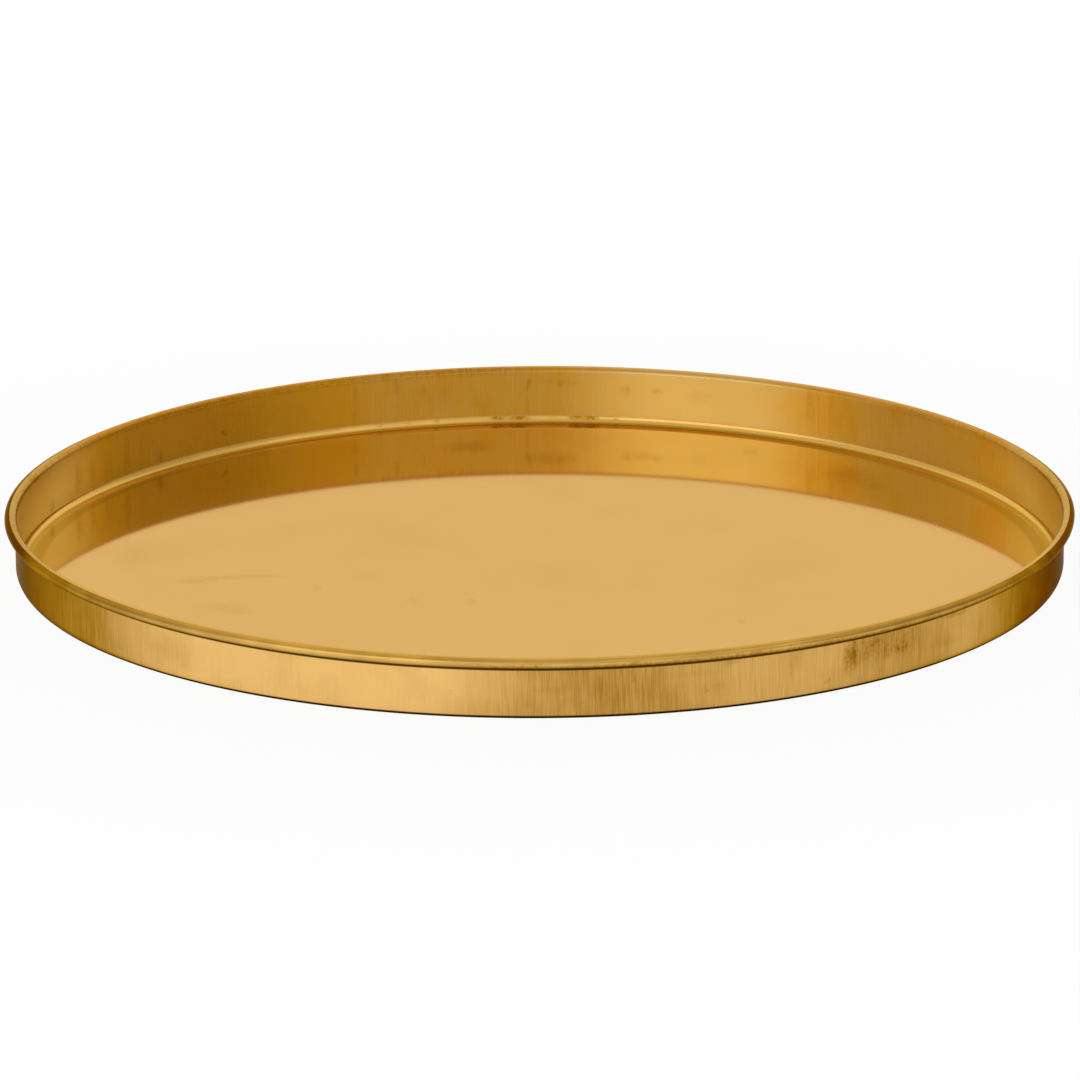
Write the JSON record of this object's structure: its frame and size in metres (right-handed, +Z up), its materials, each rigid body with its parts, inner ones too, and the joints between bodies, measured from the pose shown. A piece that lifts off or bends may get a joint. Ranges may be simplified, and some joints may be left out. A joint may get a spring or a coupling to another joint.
{
  "type": "candle plate",
  "caption": "Round low brass plate for standing candles on, with a flat floor, an upright wall and an outward rolled rim wired inside.",
  "frame": {"origin": "middle of the underside of the floor, on the table that the plate stands on", "axes": "+Z up along the plate's axis of symmetry; +Y away from the viewer of the picture, +X to the right; the wire's butted ends lie on +Y"},
  "size_m": [0.3, 0.3, 0.0175],
  "materials": {
    "brass_sheet": "drawn sheet, satin polished floor with fine upright draw lines on the wall, lightly tarnished",
    "steel_wire": "galvanised round wire, hidden inside the rolled rim"
  },
  "bodies": {
    "root": {"pan": "brass_sheet", "rim_wire": "steel_wire"}
  },
  "joints": []
}
